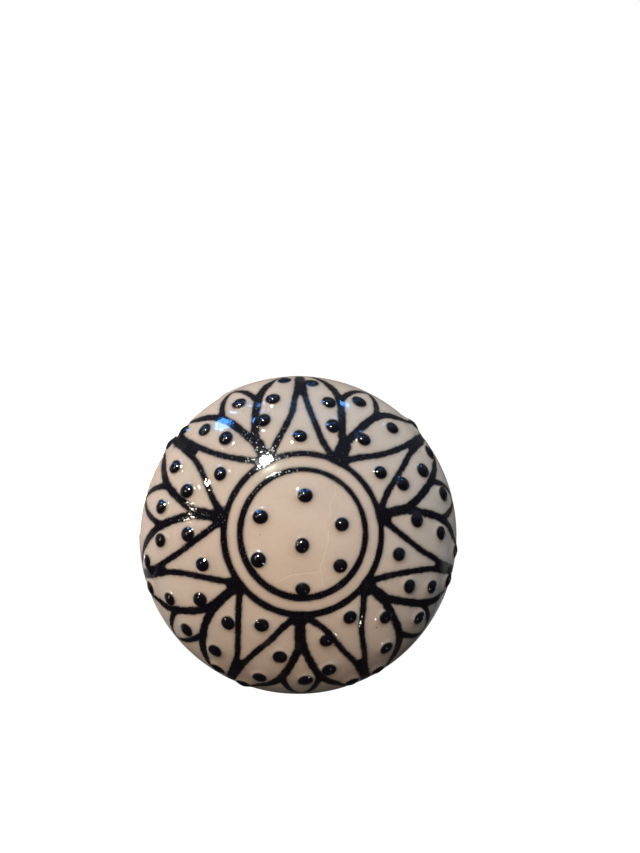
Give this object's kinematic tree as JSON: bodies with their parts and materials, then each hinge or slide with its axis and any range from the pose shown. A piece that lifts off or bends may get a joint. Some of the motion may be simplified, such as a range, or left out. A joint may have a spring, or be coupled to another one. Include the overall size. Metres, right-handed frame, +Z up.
{
  "type": "ceramic cabinet knob",
  "caption": "Round glazed ceramic cabinet knob with a raised slip-trailed ray and leaf pattern on its domed front, on a turned metal ferrule with a set-in mounting bolt.",
  "frame": {"origin": "on the knob's axis at the ferrule's back face, where it meets the cabinet", "axes": "+Z up, -Y out of the cabinet towards the user so the decorated front faces -Y, +Y along the bolt into the cabinet, +X to the right seen from the front"},
  "size_m": [0.0404, 0.061, 0.0409],
  "materials": {
    "ivory_glaze": "warm ivory body under a clear, lightly crazed gloss glaze",
    "black_slip": "blue-black raised slip under the same gloss glaze",
    "plated_ferrule": "nickel-plated, turned, softly polished",
    "zinc_bolt": "zinc-plated steel, threaded",
    "plaster": "matt setting plaster"
  },
  "bodies": {
    "root": {"ceramic_body": "ivory_glaze", "slip_lines": "black_slip", "slip_dots": "black_slip", "base_ferrule": "plated_ferrule", "mounting_bolt": "zinc_bolt", "setting_plaster": "plaster"}
  },
  "joints": []
}
